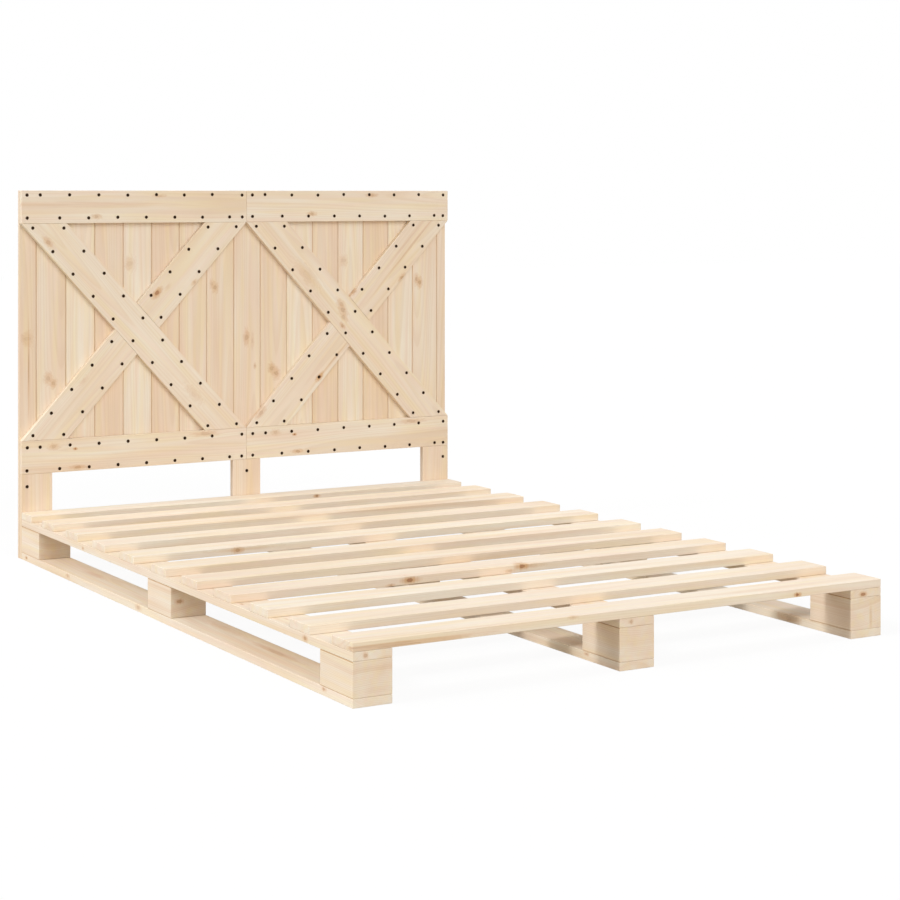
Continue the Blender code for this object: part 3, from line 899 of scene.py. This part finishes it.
def screw_tree():
    """Countersunk screws with a cross recess, one on each point, facing the front."""
    distances = (
        "Head",
        "Head Height",
        "Shank",
        "Length",
        "Sunk",
        "Recess Span",
        "Recess Width",
        "Recess Depth",
    )
    tree, given = new_group(
        "screws_on_points",
        "GeometryNodeTree",
        {
            "Geometry": "NodeSocketGeometry",
            **{name: "NodeSocketFloat" for name in distances},
            "Sides": "NodeSocketInt",
            "Seed": "NodeSocketInt",
            "Finish": "NodeSocketMaterial",
        },
        {"Geometry": "NodeSocketGeometry"},
    )
    tree.is_modifier = True
    # A cylinder of unit radius with rings at heights 1, 0 and -1 becomes head, neck and tip.
    blank = add(tree, "GeometryNodeMeshCylinder", given["Sides"], 2, 1, 1.0, 2.0)
    position = add(tree, "GeometryNodeInputPosition")
    level = add(tree, "ShaderNodeSeparateXYZ", position).outputs["Z"]
    head = add(tree, MATH, level, 0.0, operation="MAXIMUM")
    tip = add(tree, MATH, level, 0.0, operation="MINIMUM")
    flare = add(tree, MATH, given["Head"], given["Shank"], operation="SUBTRACT")
    width = add(tree, MATH, head, flare, given["Shank"], operation="MULTIPLY_ADD")
    taper = add(tree, MATH, tip, 0.5, operation="MULTIPLY")
    width = add(tree, MATH, taper, given["Shank"], width, operation="MULTIPLY_ADD")
    radius = add(tree, MATH, width, 0.5, operation="MULTIPLY")
    body = add(tree, MATH, given["Length"], given["Head Height"], operation="SUBTRACT")
    above = add(tree, MATH, head, 1.0, operation="SUBTRACT")
    above = add(tree, MATH, above, given["Head Height"], operation="MULTIPLY")
    height = add(tree, MATH, tip, body, above, operation="MULTIPLY_ADD")
    size = add(tree, "ShaderNodeCombineXYZ", radius, radius, 0.0)
    lift = add(tree, "ShaderNodeCombineXYZ", 0.0, 0.0, height)
    shaped = add(tree, VECTOR, position, size, lift, operation="MULTIPLY_ADD")
    screw = add(tree, "GeometryNodeSetPosition", named={"Geometry": blank, "Position": shaped})
    double = add(tree, MATH, given["Recess Depth"], 2.0, operation="MULTIPLY")
    span, slot = given["Recess Span"], given["Recess Width"]
    for sides in ((span, slot), (slot, span)):
        size = add(tree, "ShaderNodeCombineXYZ", *sides, double)
        cutter = add(tree, "GeometryNodeMeshCube", size)
        screw = add(
            tree, "GeometryNodeMeshBoolean", screw, cutter, operation="DIFFERENCE", solver="EXACT"
        )
    deep = add(tree, MATH, given["Sunk"], -1.0, operation="MULTIPLY")
    deep = add(tree, "ShaderNodeCombineXYZ", 0.0, 0.0, deep)
    screw = add(tree, "GeometryNodeTransform", named={"Geometry": screw, "Translation": deep})
    turn = add(
        tree, "FunctionNodeRandomValue", 0.0, 2 * math.pi, named={"Seed": given["Seed"]}, data_type="FLOAT"
    )
    way = add(tree, "ShaderNodeCombineXYZ", math.radians(90), turn, 0.0)
    points = add(tree, "GeometryNodeMeshToPoints", given["Geometry"])
    screws = add(
        tree,
        "GeometryNodeInstanceOnPoints",
        named={"Points": points, "Instance": screw, "Rotation": way},
    )
    real = add(tree, "GeometryNodeRealizeInstances", screws)
    named = {"Geometry": real, "Material": given["Finish"]}
    finished = add(tree, "GeometryNodeSetMaterial", named=named)
    add(tree, "NodeGroupOutput", finished)
    return tree


def set_inputs(modifier, values):
    """Sets a Geometry Nodes modifier's inputs by their identifiers."""
    for item in modifier.node_group.interface.items_tree:
        if item.in_out == "INPUT" and item.name in values:
            modifier[item.identifier] = values[item.name]


class BED_OT_front_screws(bpy.types.Operator):
    """Make the small black screws on the headboard's face."""

    bl_idname = "bed.front_screws"
    bl_label = "Face screws"

    def execute(self, context):
        screws = context.scene.bed_screws
        bm = bmesh.new()
        for places in screw_places(screws).values():
            for place in places:
                bm.verts.new(place)
        piece = mesh_object("headboard_face_screws", bm)
        modifier = piece.modifiers.new("Screws", "NODES")
        modifier.node_group = screw_tree()
        values = {
            "Head": screws.head,
            "Head Height": screws.head_height,
            "Shank": screws.shank,
            "Length": screws.screw_length,
            "Sunk": screws.sunk,
            "Recess Span": screws.recess_span,
            "Recess Width": screws.recess_width,
            "Recess Depth": screws.recess_depth,
            "Sides": SCREW_SIDES,
            "Seed": GRAIN_SEED,
            "Finish": black_steel(context),
        }
        set_inputs(modifier, values)
        apply_modifiers(piece)
        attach(piece, "root")
        return {"FINISHED"}


class BED_OT_connector_screws(bpy.types.Operator):
    """Finish the three connector screws behind the headboard."""

    bl_idname = "bed.connector_screws"
    bl_label = "Connector screws"

    def execute(self, context):
        for name in (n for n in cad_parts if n.startswith("headboard_screw_")):
            give(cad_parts[name], black_steel(context))
        return {"FINISHED"}


def sun(name, strength, elevation, azimuth, softness, colour=(1, 1, 1)):
    """A distant lamp, as wide as its softness in degrees. Azimuth runs from the front to the left."""
    lamp = bpy.data.lights.new(name, "SUN")
    lamp.energy = strength
    lamp.color = colour
    lamp.angle = math.radians(softness)
    obj = bpy.data.objects.new(name, lamp)
    bpy.context.scene.collection.objects.link(obj)
    azimuth, elevation = math.radians(azimuth), math.radians(elevation)
    level = Vector((-math.sin(azimuth), -math.cos(azimuth), 0)) * math.cos(elevation)
    obj.rotation_euler = (level + UP * math.sin(elevation)).to_track_quat("Z", "Y").to_euler()


def seen_directly(tree):
    """1 for rays that show the background itself: from the camera, mirrors and glass."""
    path = add(tree, "ShaderNodeLightPath").outputs
    seen = add(tree, MATH, path["Is Camera Ray"], path["Is Glossy Ray"], operation="MAXIMUM")
    return add(tree, MATH, seen, path["Is Transmission Ray"], operation="MAXIMUM")


def make_sky(stage):
    world = bpy.data.worlds.new("white_studio")
    world.use_nodes = True
    tree = world.node_tree
    tree.nodes.clear()
    strength = add(tree, MATH, seen_directly(tree), stage.sky, operation="MAXIMUM")
    sky = add(tree, "ShaderNodeBackground", (1, 1, 1, 1), strength)
    add(tree, "ShaderNodeOutputWorld", sky)
    bpy.context.scene.world = world


FLOOR_GLOW = 0.93  # share of the floor's white that no shadow darkens
FLOOR_DROP = 0.0003


def make_floor(stage):
    """A white floor, on which only a faint shadow shows."""
    bm = bmesh.new()
    bmesh.ops.create_grid(bm, x_segments=1, y_segments=1, size=stage.floor_size / 2)
    bmesh.ops.translate(bm, vec=(0, 0, FLOOR - FLOOR_DROP), verts=bm.verts)
    floor = mesh_object("studio_floor", bm)
    material, tree = finish_material("white_studio_floor")
    lit = add(tree, "ShaderNodeBsdfDiffuse", (*stage.floor, 1))
    faint = add(tree, "ShaderNodeBsdfDiffuse", (*(1 - FLOOR_GLOW,) * 3, 1))
    glow = add(tree, "ShaderNodeEmission", (1, 1, 1, 1), FLOOR_GLOW)
    shown = add(tree, "ShaderNodeAddShader", faint, glow)
    surface = add(tree, "ShaderNodeMixShader", seen_directly(tree), lit, shown)
    add(tree, "ShaderNodeOutputMaterial", surface)
    give(floor, material)


# In millimetres. The sensor's height sets the square picture. A narrower width makes other views, framed
# with this camera's sensor, stand back far enough for the whole bed, which the shift moves up in its
# picture.
SENSOR_HEIGHT = 36
SENSOR_WIDTH = 28


def make_camera(stage):
    camera = bpy.data.cameras.new("photo_camera")
    camera.lens = stage.lens
    camera.sensor_fit = "VERTICAL"
    camera.sensor_height = SENSOR_HEIGHT
    camera.sensor_width = SENSOR_WIDTH
    camera.shift_x = stage.shift_x
    camera.shift_y = stage.shift_y
    camera.clip_end = 100
    obj = bpy.data.objects.new("photo_camera", camera)
    bpy.context.scene.collection.objects.link(obj)
    obj.location = stage.camera_place
    obj.rotation_euler = (math.radians(90), 0, -stage.camera_turn)
    bpy.context.scene.camera = obj


class BED_OT_stage(bpy.types.Operator):
    """Make the floor, the sky, the lamps and the camera."""

    bl_idname = "bed.stage"
    bl_label = "Stage"

    def execute(self, context):
        stage = context.scene.bed_stage
        context.scene.view_settings.view_transform = "Standard"
        make_sky(stage)
        make_floor(stage)
        sun("front_lamp", stage.front_lamp, elevation=29, azimuth=2, softness=40, colour=stage.warm)
        sun("side_lamp", stage.side_lamp, elevation=40, azimuth=91, softness=12)
        sun("fill_lamp", stage.fill_lamp, elevation=38, azimuth=107, softness=43)
        sun("back_lamp", stage.back_lamp, elevation=15, azimuth=215, softness=60)
        make_camera(stage)
        return {"FINISHED"}


OPERATORS = (
    BED_OT_base_rows,
    BED_OT_slats,
    BED_OT_planks,
    BED_OT_front_boards,
    BED_OT_front_screws,
    BED_OT_connector_screws,
    BED_OT_stage,
)


class BED_PT_panel(bpy.types.Panel):
    """Lists the bed's settings and steps."""

    bl_label = "Pine bed frame"
    bl_idname = "BED_PT_panel"
    bl_space_type = "VIEW_3D"
    bl_region_type = "UI"
    bl_category = "Bed"

    def draw(self, context):
        for settings in (context.scene.bed_wood, context.scene.bed_screws, context.scene.bed_stage):
            box = self.layout.box()
            for name in settings.__annotations__:
                box.prop(settings, name)
        for operator in OPERATORS:
            self.layout.operator(operator.bl_idname)


SETTINGS = {
    "bed_wood": BedWoodSettings,
    "bed_screws": BedScrewSettings,
    "bed_stage": BedStageSettings,
}


def register():
    for cls in (*SETTINGS.values(), *OPERATORS, BED_PT_panel):
        bpy.utils.register_class(cls)
    for name, cls in SETTINGS.items():
        setattr(bpy.types.Scene, name, bpy.props.PointerProperty(type=cls))


def unregister():
    for name in SETTINGS:
        delattr(bpy.types.Scene, name)
    for cls in reversed((*SETTINGS.values(), *OPERATORS, BED_PT_panel)):
        bpy.utils.unregister_class(cls)


def main():
    register()
    for operator in OPERATORS:
        group, name = operator.bl_idname.split(".")
        getattr(getattr(bpy.ops, group), name)()


if __name__ == "__main__":
    main()
